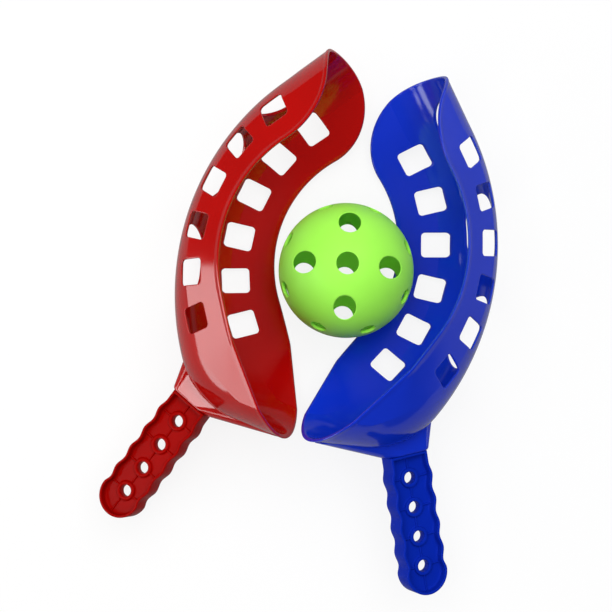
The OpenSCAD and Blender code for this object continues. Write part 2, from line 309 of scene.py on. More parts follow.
class Shell:
    """Patches of one piece, each a grid of points, that are welded where their edges meet."""
    CAP_RINGS = 3    # rings of faces in a cap

    def __init__(self):
        self.points, self.faces, self.total = [], [], 0

    def patch(self, grid, closed=False):
        """Adds a grid of points, rows by columns, with its last column joined to its first if closed."""
        rows, columns = grid.shape[:2]
        index = self.total + np.arange(rows * columns).reshape(rows, columns)
        if closed:
            index = np.concatenate([index, index[:, :1]], 1)
        corners = [index[:-1, :-1], index[1:, :-1], index[1:, 1:], index[:-1, 1:]]
        self.faces.append(np.stack(corners, -1).reshape(-1, 4))
        self.points.append(grid.reshape(-1, 3))
        self.total += rows * columns

    def cap(self, loop):
        """Closes a loop with even rings to its middle."""
        self.patch(rings(loop.mean(0), loop, self.CAP_RINGS, 1), True)

    def tube(self, grid):
        """Adds a grid of loops as a closed tube with a cap on each end."""
        self.patch(grid, True)
        self.cap(grid[0])
        self.cap(grid[-1])

    def build(self, name, turn, spot, material):
        """Turns the patches into one mesh object in the frame, smooth and facing outwards."""
        points = np.concatenate(self.points) @ np.array(turn).T + np.array(spot)
        mesh = bpy.data.meshes.new(name)
        mesh.from_pydata(points.tolist(), [], np.concatenate(self.faces).tolist())
        work = bmesh.new()
        work.from_mesh(mesh)
        bmesh.ops.remove_doubles(work, verts=work.verts, dist=WELD)
        bmesh.ops.recalc_face_normals(work, faces=work.faces)
        work.to_mesh(mesh)
        work.free()
        mesh.shade_smooth()
        mesh.materials.append(material)
        piece = bpy.data.objects.new(name, mesh)
        bpy.context.scene.collection.objects.link(piece)
        return piece


def heel_centre(size):
    """Centre of the heel turn in the side view of a scoop."""
    return (size.back_r - size.heel_r) * down(size.back_start)


class Trough:
    """Shape of a scoop's trough. A place on it is s, the length along the outer floor from the lowest
    point, w, the length across from the keel, and d, the depth below the outer face. The length past the
    crease, v, stands for w next to the crease."""
    CREASE_FACES = 4      # mesh faces across the soft crease
    BAND_FACES = 8        # across the band below the crease
    FLOOR_FACES = 40      # across the floor between the two bands
    WALL_FACES = 14       # up a side wall
    WINDOW_RINGS = 8      # from the edge of a window to the border of its tile
    OVAL_RINGS = 12       # from the edge of a long hole to the border of its tile
    HEEL_RUN = 0.095      # length of floor whose columns are drawn out to the rim at the heel
    TIP_RUN = 0.014       # the same at the tip
    FARTHEST = 0.3        # further along the floor than either end of the rim
    PAST_TIP = 0.03       # further past the back arc than any window tile
    LOWEST = -0.02        # less than any length past the crease
    HIGHEST = 0.09        # more than any length past the crease
    OVALS = (-1, 0, 1)                       # long holes, in pitches from the middle one
    OVAL_BORDERS = (-1.5, -0.5, 0.5, 1.4)    # ends of their tiles, the last one short of the tip

    def __init__(self, sizes):
        self.size, self.rim, self.window = size, rim, window = sizes.trough, sizes.rim, sizes.windows
        self.s_heel = size.back_r * size.back_start
        self.s_turn = self.s_heel - size.heel_r * size.heel_turn
        self.s_tip = size.back_r * size.back_end
        self.heel_c = heel_centre(size)
        self.heel_end = size.back_start - size.heel_turn
        self.low_h = size.floor_r * (1 - math.cos(size.crease))
        self.low_w = size.floor_r * math.sin(size.crease)
        self.hollow_c = np.array([rim.hollow_x, rim.hollow_y - size.back_r])
        self.bulge_c = self.hollow_c + (rim.hollow_r + rim.bulge_r) * along(rim.bulge_dir)
        self.row_c = np.array([window.row_x, window.row_y - size.back_r])
        x, y = self.path(np.array(self.s_turn - size.heel_len))[0] - self.hollow_c
        self.slope_a = math.atan2(y, x) % math.tau + math.acos(rim.hollow_r / math.hypot(x, y))
        self.strip = np.linspace(-size.crease_r, size.crease_r, self.CREASE_FACES + 1)
        self.band = spread(-size.foot, -size.crease_r, self.BAND_FACES)
        self.lines = np.concatenate([self.band, self.strip[1:]])
        self.floor = np.linspace(-1, 1, self.FLOOR_FACES + 1)
        self.lay_columns()

    def path(self, s):
        """Outer floor at s and the direction up from it: a back arc, a tighter heel arc, straight ends."""
        size = self.size
        back = np.clip(s, self.s_heel, self.s_tip) / size.back_r
        turn = back + np.clip(s - self.s_heel, self.s_turn - self.s_heel, 0) / size.heel_r
        tip_run = np.maximum(s - self.s_tip, 0)[..., None] * along(size.back_end)
        heel_run = np.minimum(s - self.s_turn, 0)[..., None] * along(self.heel_end)
        base = size.back_r * down(back) + size.heel_r * (down(turn) - down(back)) + tip_run + heel_run
        return base, -down(turn)

    def crease(self, s):
        """Bend of the floor at the crease, and the share that the floor is drawn in to, at s. The crease runs
        at one distance from the centre of the window row, and nowhere lower than its least bend. The floor is
        drawn in so that its edge stays on the plane of the wall."""
        size = self.size
        base, up = self.path(np.minimum(s, size.crease_tip))
        away = base - self.row_c
        below = -(away * up).sum(-1)
        h = below - np.sqrt(np.maximum(below ** 2 - (away ** 2).sum(-1) + size.crease_row ** 2, 0))
        gap = h - self.low_h
        h = self.low_h + (gap + np.sqrt(gap ** 2 + size.crease_r ** 2)) / 2
        bend = np.arccos(1 - h / size.floor_r)
        reach = self.low_w + (h - self.low_h) * math.tan(size.flare)
        return bend, reach / (size.floor_r * np.sin(bend))

    def edge(self, s):
        """Length across from the keel to the crease at s."""
        return self.size.floor_r * self.crease(s)[0]

    def section(self, s, v, d):
        """Height and half width at s, v past the crease and depth d: a round floor h = R (1 - cos b),
        z = draw R sin b, then a straight wall, moved by d along the normal, which turns over the crease."""
        size = self.size
        bend, draw = self.crease(s)
        floor = bend + np.minimum(v, 0) / size.floor_r
        rise = np.maximum(v, 0)
        share = np.clip((v + size.crease_r) / (2 * size.crease_r), 0, 1)
        lean = floor + (math.pi / 2 - size.flare - floor) * share
        h = size.floor_r * (1 - np.cos(floor)) + rise * math.cos(size.flare) + d * np.cos(lean)
        z = draw * size.floor_r * np.sin(floor) + rise * math.sin(size.flare) - d * np.sin(lean)
        return h, z

    def skin(self, s, w, d):
        """Point at s, w and depth d."""
        s, w = np.broadcast_arrays(s, w)
        base, up = self.path(s)
        h, z = self.section(s, np.abs(w) - self.edge(s), d)
        return np.concatenate([base + up * h[..., None], (np.sign(w) * z)[..., None]], -1)

    def side_skin(self, places, d, side):
        """Points at places (s, v) on one side of the trough."""
        s, v = places[..., 0], places[..., 1]
        return self.skin(s, side * (self.edge(s) + v), d)

    def run(self, p):
        """Length s and height above the outer floor of a side view point."""
        size = self.size
        q = p - self.heel_c
        a, b = np.arctan2(p[..., 0], -p[..., 1]), np.arctan2(q[..., 0], -q[..., 1])
        tip = self.s_tip + p @ along(size.back_end), size.back_r - p @ down(size.back_end)
        back = size.back_r * a, size.back_r - np.linalg.norm(p, axis=-1)
        heel = self.s_heel + size.heel_r * (b - size.back_start), size.heel_r - np.linalg.norm(q, axis=-1)
        last = self.s_turn + q @ along(self.heel_end), size.heel_r - q @ down(self.heel_end)
        cases = [a > size.back_end, a > size.back_start, b > self.heel_end]
        return [np.select(cases, values[:3], values[3]) for values in zip(tip, back, heel, last)]

    def spot(self, p, d):
        """Places (s, v) of side view points at depth d."""
        s, h = self.run(p)
        return pairs(s, halve(lambda v: self.section(s, v, d)[0] - h, s, self.LOWEST, self.HIGHEST))

    def above_rim(self, p):
        """Distance of a side view point above the rim line, less than zero in the moulding."""
        rim, v = self.rim, p - self.hollow_c
        turn = np.arctan2(v[..., 1], v[..., 0]) % math.tau
        slope = rim.hollow_r - v @ along(self.slope_a)
        hollow = rim.hollow_r - np.linalg.norm(v, axis=-1)
        bulge = np.linalg.norm(p - self.bulge_c, axis=-1) - rim.bulge_r
        return np.select([turn < self.slope_a, turn < rim.bulge_dir + math.tau], [slope, hollow], bulge)

    def across(self, s, share, v):
        """Length across of a line: a share of the floor inside the band, or v past the crease in the band."""
        edge = self.edge(s)
        return share * np.where(np.abs(share) < 1, edge - self.size.foot, edge + v)

    def end(self, share, v, d, below, towards):
        """Length s at which a line at depth d meets the rim, or the line below it."""
        def above(s):
            return self.above_rim(self.skin(s, self.across(s, share, v), d)[..., :2]) + below

        return halve(above, share, 0, towards * self.FARTHEST)

    def rim_at(self, turn, below):
        """Side view point under the rim on the ray at an angle about the window row's centre."""
        def at(reach):
            return self.row_c + reach[..., None] * down(turn)

        return at(halve(lambda reach: -self.above_rim(at(reach)) - below, turn, 0, self.size.back_r))

    def ray_turn(self, s):
        """Angle about the window row's centre of the crease at s."""
        v = self.skin(s, self.edge(s), 0.0)[..., :2] - self.row_c
        return np.arctan2(v[..., 0], -v[..., 1])

    def lay_columns(self):
        """Columns of the mesh along the trough: window and oval tiles begin and end on a column."""
        window, size = self.window, self.size
        first = window.first + window.pitch / 2 - window.number * window.pitch
        self.tile_turns = first + window.pitch * np.arange(window.number + 1)
        rays = halve(lambda s: self.ray_turn(s) - self.tile_turns, self.tile_turns,
                     self.s_turn, self.s_tip + self.PAST_TIP)
        self.ovals = window.oval_turn + window.oval_pitch * np.array(self.OVALS)
        borders = size.back_r * (window.oval_turn + window.oval_pitch * np.array(self.OVAL_BORDERS))
        stops = np.unique(np.concatenate([rays, borders]))
        runs = [spread(a, b, math.ceil((b - a) / size.step))[:-1] for a, b in zip(stops[:-1], stops[1:])]
        self.fixed = np.concatenate(runs + [stops[-1:]])
        self.heel_n, self.tip_n = round(self.HEEL_RUN / size.step), round(self.TIP_RUN / size.step)
        self.last = self.heel_n + len(self.fixed) - 1 + self.tip_n
        self.ray_columns = [self.column(s) for s in rays]
        self.oval_columns = [self.column(s) for s in borders]

    def column(self, s):
        """Number of the column at s."""
        return self.heel_n + int(np.argmin(np.abs(self.fixed - s)))

    def columns(self, share, v, d, below):
        """Lengths s of all columns on lines: fixed in the middle, drawn out to the rim at both ends."""
        share, v = np.broadcast_arrays(np.atleast_1d(share), v)
        n = len(share)
        heel = spread(self.end(share, v, d, below, -1), np.full(n, self.fixed[0]), self.heel_n)[:-1].T
        tip = spread(np.full(n, self.fixed[-1]), self.end(share, v, d, below, 1), self.tip_n)[1:].T
        return np.concatenate([heel, np.repeat(self.fixed[None], n, 0), tip], 1)

    def wall_foot(self, d, below):
        """Places (s, v) of all columns on the lower edge of the wall, just above the crease."""
        return pairs(self.columns(1, self.strip[-1], d, below)[0], self.strip[-1])

    def wall_top(self, d, below):
        """Places (s, v) of all columns under the rim: along the slope, the hollow, then the bulge."""
        ends = self.side_skin(self.wall_foot(d, below)[[0, -1]], d, 1)[:, :2]
        joints = self.rim_at(self.tile_turns, below)
        top = [spread(ends[0], joints[0], self.ray_columns[0])[:-1]]
        for i, steps in enumerate(np.diff(self.ray_columns)):
            top.append(self.rim_at(spread(self.tile_turns[i], self.tile_turns[i + 1], steps)[:-1], below))
        start, stop = joints[-1] - self.bulge_c, ends[1] - self.bulge_c
        turn = spread(math.atan2(start[1], start[0]), math.atan2(stop[1], stop[0]),
                      self.last - self.ray_columns[-1])
        top.append(self.bulge_c + (self.rim.bulge_r - below) * along(turn))
        return self.spot(np.concatenate(top), d)

    def window_parts(self, i, grow, d):
        """Edge of window i, counted from the heel and made larger by grow, as places (s, v) in four parts:
        above the crease from right to left, the crossings on the left, below it, those on the right."""
        window = self.window
        turn = window.first - (window.number - 1 - i) * window.pitch
        half, corner = window.side / 2 + grow, window.corner + grow
        flat = half - corner

        def side_view(loop):
            """A loop round the window's centre as side view points."""
            centre = self.row_c + window.row_r * down(turn)
            return centre + loop[..., :1] * along(turn) + loop[..., 1:] * -down(turn)

        def past(y, x):
            """Height of points on an upright of the window above the lines of the crease."""
            s, h = self.run(side_view(pairs(x, y)))
            return h - self.section(s, self.strip, d)[0]

        level = {side: halve(lambda y: past(y, side * half), self.strip, -flat, flat) for side in (1, -1)}

        def arm(side, up):
            """Part of the edge from the crease to the middle of the corner above or below it, on one side."""
            start = up * level[side][-1 if up > 0 else 0]
            faces = self.WALL_FACES if up > 0 else self.BAND_FACES
            reach = np.linspace(0, flat - start + corner * math.pi / 4, faces + 1)
            t = np.maximum(reach - flat + start, 0) / corner
            y = np.minimum(start + reach, flat) + corner * np.sin(t)
            return pairs(flat + corner * np.cos(t), y) * [side, up]

        steps = self.ray_columns[i + 1] - self.ray_columns[i]
        uprights = 2
        box = round_box(2 * half, 2 * half, corner, steps, uprights)
        top = box[steps + uprights:2 * steps + uprights]
        upper = np.concatenate([arm(1, 1)[:-1], top, arm(-1, 1)[::-1]])
        lower = np.concatenate([arm(-1, -1)[:-1], -top, arm(1, -1)[::-1]])
        left, right = pairs(-half, level[-1])[::-1], pairs(half, level[1])
        return [self.spot(side_view(part), d) for part in (upper, left, lower, right)]

    def window_tile(self, shell, i, foot, top, low, d, side):
        """Tile of the mesh round window i: rings out to its border above the crease and below it, and the
        crease to the left and right of the window."""
        a, b = self.ray_columns[i], self.ray_columns[i + 1]
        upper, left, lower, right = self.window_parts(i, self.window.soft, d)
        over = np.concatenate([spread(foot[b], top[b], self.WALL_FACES)[:-1], top[b:a:-1],
                               spread(top[a], foot[a], self.WALL_FACES)])
        under = np.concatenate([pairs(foot[a, 0], self.band)[:0:-1], pairs(low[a:b], self.band[0]),
                                pairs(foot[b, 0], self.band)])
        for inner, outer in ((upper, over), (lower, under)):
            shell.patch(self.side_skin(rings(inner, outer, self.WINDOW_RINGS), d, side))
        for crossing, column in ((left[::-1], a), (right, b)):
            s = rings(crossing[:, :1], foot[column, :1], self.WINDOW_RINGS)[..., 0].T
            shell.patch(self.side_skin(pairs(s, self.strip[:, None]), d, side))

    def oval_loop(self, turn, bearing, grow, d):
        """Loop (s, w) round a long hole, cut straight out of the floor at an angle. On each bearing from the
        hole's centre the edge lies at r / sin, or on the round end at a cos + sqrt(r r - a a sin sin)."""
        size, window = self.size, self.window
        r, a = window.oval_w / 2 + grow, (window.oval_len - window.oval_w) / 2
        c, s = np.abs(np.cos(bearing)), np.abs(np.sin(bearing))
        flat = r / np.maximum(s, TINY)
        reach = np.where(flat * c <= a, flat, a * c + np.sqrt(np.maximum(r * r - (a * s) ** 2, 0)))
        y, z = reach * np.cos(bearing), reach * np.sin(bearing)
        draw = self.crease(size.back_r * turn + y)[1]
        bend = np.arcsin(z / (draw * size.floor_r - d))
        radius = size.back_r - size.floor_r + (size.floor_r - d) * np.cos(bend)
        limit = radius * math.sin(size.back_end - turn)
        on_arc = size.back_r * (turn + np.arcsin(np.minimum(y, limit) / radius))
        past = np.maximum(y - limit, 0) / math.cos(size.back_end - turn)
        return pairs(on_arc + past, bend * size.floor_r)

    def oval_tiles(self):
        """Angle of each long hole with the border (s, w) of its share of the floor, and its bearings."""
        inside = self.edge(self.fixed) - self.size.foot
        places = np.array(self.oval_columns) - self.heel_n
        for turn, a, b in zip(self.ovals, places[:-1], places[1:]):
            border = np.concatenate([
                pairs(self.fixed[a:b], -inside[a:b]),
                pairs(self.fixed[b], self.floor[:-1] * inside[b]),
                pairs(self.fixed[b:a:-1], inside[b:a:-1]),
                pairs(self.fixed[a], self.floor[:0:-1] * inside[a])])
            yield turn, border, np.arctan2(border[:, 1], border[:, 0] - self.size.back_r * turn)

    def face(self, shell, d, below):
        """One face of the trough, outer or inner: walls with windows, soft creases, floor with long holes."""
        foot, top = self.wall_foot(d, below), self.wall_top(d, below)
        runs = self.columns(1, self.lines, d, below)
        for side in (1, -1):
            for a, b in ((0, self.ray_columns[0]), (self.ray_columns[-1], self.last)):
                wall = spread(foot[a:b + 1], top[a:b + 1], self.WALL_FACES)
                shell.patch(self.side_skin(wall, d, side))
                shell.patch(self.side_skin(pairs(runs[:, a:b + 1], self.lines[:, None]), d, side))
            for i in range(self.window.number):
                self.window_tile(shell, i, foot, top, runs[0], d, side)
        floor = self.columns(self.floor, -self.size.foot, d, below)
        for a, b in ((0, self.oval_columns[0]), (self.oval_columns[-1], self.last)):
            s = floor[:, a:b + 1]
            shell.patch(self.skin(s, self.across(s, self.floor[:, None], -self.size.foot), d))
        for turn, border, bearing in self.oval_tiles():
            loops = rings(self.oval_loop(turn, bearing, self.window.soft, d), border, self.OVAL_RINGS)
            shell.patch(self.skin(loops[..., 0], loops[..., 1], d), True)

    def hole_edges(self, shell):
        """Edges of windows and long holes through the wall, with soft corners on both faces."""
        profile = through_edge(self.window.soft, self.size.wall)
        for i in range(self.window.number):
            loops = []
            for grow, d in profile:
                upper, left, lower, right = self.window_parts(i, grow, d)
                loops.append(self.side_skin(np.concatenate([upper, left[1:-1], lower, right[1:-1]]), d, 1))
            for side in (1, -1):
                shell.patch(np.stack(loops) * [1, 1, side], True)
        for turn, _, bearing in self.oval_tiles():
            loops = [self.skin(*self.oval_loop(turn, bearing, grow, d).T, d) for grow, d in profile]
            shell.patch(np.stack(loops), True)

    def rim_loop(self, below, d):
        """Closed loop round the mouth, at a distance below the rim line and a depth."""
        top = self.wall_top(d, below)
        wall, other = (self.side_skin(top, d, side) for side in (1, -1))
        lines, floor = np.ones(len(self.lines)), self.floor[-2:0:-1]
        share = np.concatenate([lines, floor, -lines])
        v = np.concatenate([self.lines[::-1], np.full(len(floor), -self.size.foot), self.lines])
        tip, heel = (self.end(share, v, d, below, towards) for towards in (1, -1))
        tip, heel = (self.skin(s, self.across(s, share, v), d) for s in (tip, heel))
        return np.concatenate([wall[:-1], tip[:-1], other[:0:-1], heel[:0:-1]])

    def rim_profile(self):
        """Section of the thicker rim from the outer face over the top to the inner one, as (below, depth)."""
        rim = self.rim
        t = np.linspace(0, math.pi, 2 * ROUND_FACES + 1)
        step = pairs(rim.lip_h + rim.soft * np.cos(t), -rim.lip / 2 * (1 - np.cos(t)))
        return np.concatenate([step, through_edge(rim.soft, self.size.wall + rim.lip) - [0, rim.lip]])

    def shell(self):
        """The whole trough: outer face, inner face, holes and rim."""
        made = Shell()
        profile = self.rim_profile()
        self.face(made, 0.0, profile[0, 0])
        self.face(made, self.size.wall, profile[-1, 0])
        self.hole_edges(made)
        made.patch(np.stack([self.rim_loop(below, d) for below, d in profile]), True)
        return made


def from_grip(sizes, points):
    """Points in the handle's frame, X towards the trough and Y towards the mouth, in the scoop's frame."""
    grip = sizes.handle
    origin = heel_centre(sizes.trough) + (sizes.trough.heel_r + grip.gap) * along(grip.direction)
    flat = origin + points[..., :1] * along(grip.slope) + points[..., 1:2] * along(grip.slope + math.pi / 2)
    return np.concatenate([flat, points[..., 2:]], -1)


def bore_loop(grip, room):
    """Section of the collar's bore or, with room left on each side, of the plug in it."""
    width, height = (side - 2 * (grip.collar_wall + room) for side in (grip.collar_w, grip.collar_t))
    return round_box(width, height, grip.collar_round, BORE_ACROSS, BORE_UPRIGHT)


class Neck:
    """Neck of a scoop: a section at the collar edge whose points run out along rays, fanned from the back
    flare to the mouth flare, until they lie half way into the wall of the heel."""
    FACE_RINGS = 3     # mesh faces from the bore to the collar edge
    LIP_FACES = 5      # round the collar edge
    RAY_FACES = 14     # along a ray
    ROOT_RINGS = 6     # across the neck's end in the wall of the heel
    FARTHEST = 0.05    # longer than any ray

    def __init__(self, sizes, trough):
        self.sizes, self.size, self.trough = sizes, sizes.handle, trough
        self.bore = bore_loop(self.size, 0)
        self.loop = self.section(0)

    def section(self, inset):
        """Section at the collar edge, inset by a length, on the bearings of the bore: flat faces with round
        corners on the back side and an elliptical nose on the mouth side."""
        size = self.size
        way = self.bore / np.linalg.norm(self.bore, axis=-1, keepdims=True)
        half_w, half_t = size.neck_w / 2 - inset, size.collar_t / 2 - inset
        corner, nose = size.neck_round - inset, size.neck_nose - inset

        def past(reach):
            y, z = reach * way[:, 0], np.abs(reach * way[:, 1])
            front = np.hypot((y - half_w + nose) / nose, z / half_t) - 1
            out_y, out_z = np.maximum(corner - half_w - y, 0), np.maximum(z - half_t + corner, 0)
            return np.where(y > half_w - nose, front, np.hypot(out_y, out_z) / corner - 1)

        return halve(past, way[:, 0], 0, size.neck_w)[:, None] * way

    def rays(self, part):
        """Starts and directions of the rays from the section, drawn in to a part of its size. The fan eases
        from flare to flare as a sine, and the rise grows with the distance from the middle plane."""
        size = self.size
        y, z = part * self.loop.T
        share = np.sin((y / size.neck_w + 0.5) * math.pi / 2)
        fan = (size.neck_mouth + size.neck_back) * share - size.neck_back
        rise = size.neck_rise * z / (size.collar_x * size.collar_t)
        start = np.stack([np.full_like(y, size.collar_x), y, z], -1)
        return start, np.stack([np.cos(fan), np.sin(fan), rise], -1)

    def root(self, part):
        """Points of those rays that lie half way into the wall of the heel."""
        size = self.sizes.trough
        start, way = self.rays(part)

        def sunk(reach):
            p = from_grip(self.sizes, start + reach[:, None] * way)
            h = self.trough.run(p[:, :2])[1]
            return size.floor_r - np.hypot(p[:, 2], size.floor_r - h) - size.wall / 2

        return start + halve(sunk, way[:, 0], 0, self.FARTHEST)[:, None] * way

    def add(self, shell):
        """Adds the neck's sides with their lip, its face, the bore and the end in the wall of the heel. The
        lip rounds the corner from the face to the side: face (1 - t)^2 + 2 corner t (1 - t) + side t^2."""
        size = self.size
        corner, way = self.rays(1)
        side = spread(corner + size.neck_soft * way, self.root(1), self.RAY_FACES)
        face = np.concatenate([corner[:, :1], self.section(size.neck_soft)], -1)
        t = np.linspace(0, 1, self.LIP_FACES + 1)[:-1, None, None]
        lip = face * (1 - t) ** 2 + corner * (2 * t * (1 - t)) + side[0] * t ** 2
        mouth = np.concatenate([corner[:, :1], self.bore], -1)
        bore = spread(mouth, mouth + [size.plug_len, 0, 0], PLUG_FACES)
        end = np.stack([self.root(part) for part in np.linspace(1, 0, self.ROOT_RINGS + 1)])
        for grid in (np.concatenate([lip, side]), rings(mouth, face, self.FACE_RINGS, 1), bore, end):
            shell.patch(from_grip(self.sizes, grid), True)
        shell.cap(from_grip(self.sizes, bore[-1]))


class Grip:
    """Shape of a waved handle: X towards the trough from the first hole, Y towards the mouth."""
    EDGE_FACES = 26      # mesh faces along an edge, beside one hole
    END_FACES = 48       # round the end
    ACROSS_FACES = 20    # across the handle
    TILE_RINGS = 7       # from a boss to the border of its tile
    RIB_FACES = 8        # along a rib, and over its round top
    EDGE_ROUND = 4       # round an edge or a fillet of the pockets
    LEAST_RISE = 0.4     # least share of a wave that is left for the rise into the end
    RIB_ROOT = 0.4       # height of a rib's root, as a share of the web
    BOSS_CUT = 0.3       # middle of a boss's soft edge from both its faces, as a share of its radius
    FLIP = np.array([1, -1])

    def __init__(self, size):
        self.size = size
        self.end_r = size.width / 2 + size.wave_amp
        self.end_x = self.end_r - size.length
        self.last_x = -(math.floor(-self.end_x / size.wave - self.LEAST_RISE) + 0.5) * size.wave
        self.face_x = size.collar_x - size.fit
        self.fillet = 2 * size.soft

    def half_width(self, x):
        """Half width at x: a cosine wave, straight next to the collar, whose last rise runs into the end."""
        size = self.size
        wave = np.cos(math.tau * np.minimum(x, size.wave / 2) / size.wave)
        rise = -np.cos(math.pi * (self.last_x - x) / (self.last_x - self.end_x))
        return size.width / 2 + size.wave_amp * np.where(x > self.last_x, wave, rise)

    def border(self, inset):
        """One edge at an inset from the outer face, in runs that end between the holes, and the round end."""
        stops = [-(i + 0.5) * self.size.hole_pitch for i in range(self.size.holes - 1)]
        stops = [self.face_x - inset, *stops, self.end_x]
        runs = [spread(a, b, self.EDGE_FACES)[:-1] for a, b in zip(stops[:-1], stops[1:])]
        turn = np.linspace(math.pi / 2, 3 * math.pi / 2, self.END_FACES + 1)
        end = [self.end_x, 0] + (self.end_r - inset) * along(turn)
        return [pairs(x, self.half_width(x) - inset) for x in runs], end

    def outline(self, inset):
        """Closed loop of the handle, inset from its outer face: an edge, the round end, the other edge."""
        edges, end = self.border(inset)
        edge = np.concatenate(edges)
        face = spread(edge[0] * self.FLIP, edge[0], self.ACROSS_FACES)[1:-1]
        return np.concatenate([edge, end, edge[::-1] * self.FLIP, face])

    def tiles(self, inset):
        """Loop round each hole's share of the pocket floor, with the place of its hole."""
        edges, end = self.border(inset)
        cuts = [spread(edge[0], edge[0] * self.FLIP, self.ACROSS_FACES) for edge in edges]
        for i, (edge, right, left) in enumerate(zip(edges, cuts, cuts[1:] + [end])):
            loop = np.concatenate([edge, left, edge[:0:-1] * self.FLIP, right[:0:-1]])
            yield loop, np.array([-i * self.size.hole_pitch, 0])

    def level(self, loop, z):
        """A flat loop raised to z."""
        return np.concatenate([loop, np.full((len(loop), 1), z)], -1)

    def skin(self, shell):
        """Outer wall and both pocket walls: the outline at insets and heights that round every edge."""
        size = self.size
        fillet, edge = (quarter_round(radius, self.EDGE_ROUND) for radius in (self.fillet, size.soft))
        top = size.thick / 2
        side = np.concatenate([[size.wall, size.web / 2] + fillet, [size.wall, top] - edge[::-1],
                               [0, top] + edge * self.FLIP])
        both = np.concatenate([side, side[::-1] * self.FLIP])
        shell.patch(np.stack([self.level(self.outline(inset), z) for inset, z in both]), True)

    def floors(self, shell):
        """Pocket floors with a boss and a through hole each: rings from the hole out to the tile's edge."""
        size = self.size
        hole, boss, high, floor = size.hole_d / 2, size.boss_d / 2, size.boss_h / 2, size.web / 2
        edge = size.soft * np.array([[1, 0], [self.BOSS_CUT, self.BOSS_CUT], [0, 1]])
        profile = np.concatenate([[[hole, 0]], [hole, high] + edge[::-1] * self.FLIP, [boss, high] - edge,
                                  [boss, floor] + edge[::-1]])
        for loop, centre in self.tiles(size.wall + self.fillet):
            way = along(np.arctan2(loop[:, 1] - centre[1], loop[:, 0] - centre[0]))
            inner = np.stack([self.level(centre + r * way, z) for r, z in profile])
            outer = rings(inner[-1], self.level(loop, floor), self.TILE_RINGS)[1:]
            for up in (1, -1):
                shell.patch(np.concatenate([inner, outer]) * [1, 1, up], True)

    def rib(self, shell, start, stop):
        """Low rib with a round top, laid on the web from start to stop: a section carried along a line."""
        size = self.size
        t = np.linspace(0, math.pi, self.RIB_FACES + 1)
        top = pairs(size.rib_w / 2 * np.cos(t), size.web / 2 + size.rib_h * np.sin(t))
        root = np.array([size.rib_w / 2, self.RIB_ROOT * size.web])
        section = np.concatenate([[root], top, [root * [-1, 1]]])
        run = np.subtract(stop, start) / math.dist(start, stop)
        line = spread(np.array(start), np.array(stop), self.RIB_FACES)
        flat = line[:, None] + section[:, :1] * np.array([-run[1], run[0]])
        grid = np.concatenate([flat, np.broadcast_to(section[:, 1:], flat.shape[:2] + (1,))], -1)
        for up in (1, -1):
            shell.tube(grid * [1, 1, up])

    def ribs(self, shell):
        """A rib along the middle between the bosses, and one across at each hole."""
        size = self.size
        boss, reach = size.boss_d / 2 - size.soft, size.width / 2 - size.wall / 2
        for i in range(size.holes):
            x = -i * size.hole_pitch
            self.rib(shell, (x, boss), (x, reach))
            self.rib(shell, (x, -reach), (x, -boss))
            after = x - size.hole_pitch + boss if i + 1 < size.holes else size.wall / 2 - size.length
            self.rib(shell, (x - boss, 0), (after, 0))
        self.rib(shell, (self.face_x - size.wall / 2, 0), (boss, 0))

    def plug(self, shell):
        """Plug that enters the collar: a box section from inside the handle to the bottom of the bore."""
        size = self.size
        loop = bore_loop(size, size.fit)
        start = np.concatenate([np.full((len(loop), 1), self.face_x - size.wall / 2), loop], -1)
        shell.tube(spread(start, start + [size.plug_len, 0, 0], PLUG_FACES))

    def shell(self, sizes):
        """The whole handle, in the scoop's frame."""
        made = Shell()
        for part in (self.skin, self.floors, self.ribs, self.plug):
            part(made)
        made.points = [from_grip(sizes, p) for p in made.points]
        return made


